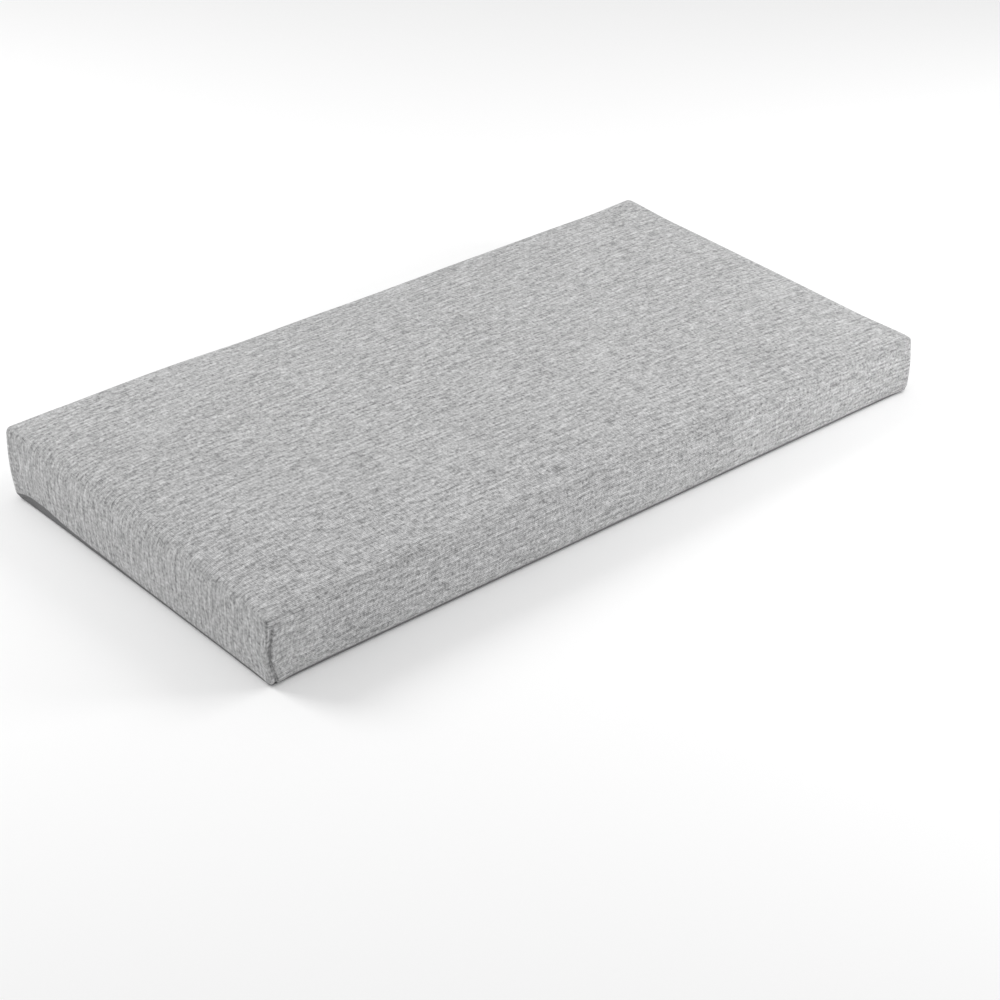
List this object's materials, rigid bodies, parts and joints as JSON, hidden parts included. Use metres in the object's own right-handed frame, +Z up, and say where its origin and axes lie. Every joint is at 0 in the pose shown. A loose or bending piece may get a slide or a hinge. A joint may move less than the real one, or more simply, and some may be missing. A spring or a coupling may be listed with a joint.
{
  "type": "bench cushion",
  "caption": "Long soft filled seat cushion in a plain cloth cover with mitred corner seams and rounded edges.",
  "frame": {"origin": "middle of the flat underside", "axes": "+X along the length to the right end, +Y to the back long side, +Z up out of the top"},
  "size_m": [0.803, 0.4221, 0.0799],
  "materials": {
    "grey_cloth": "matt mid-grey flecked plain weave with slubbed threads along the length"
  },
  "bodies": {
    "root": {"cushion": "grey_cloth"}
  },
  "joints": []
}
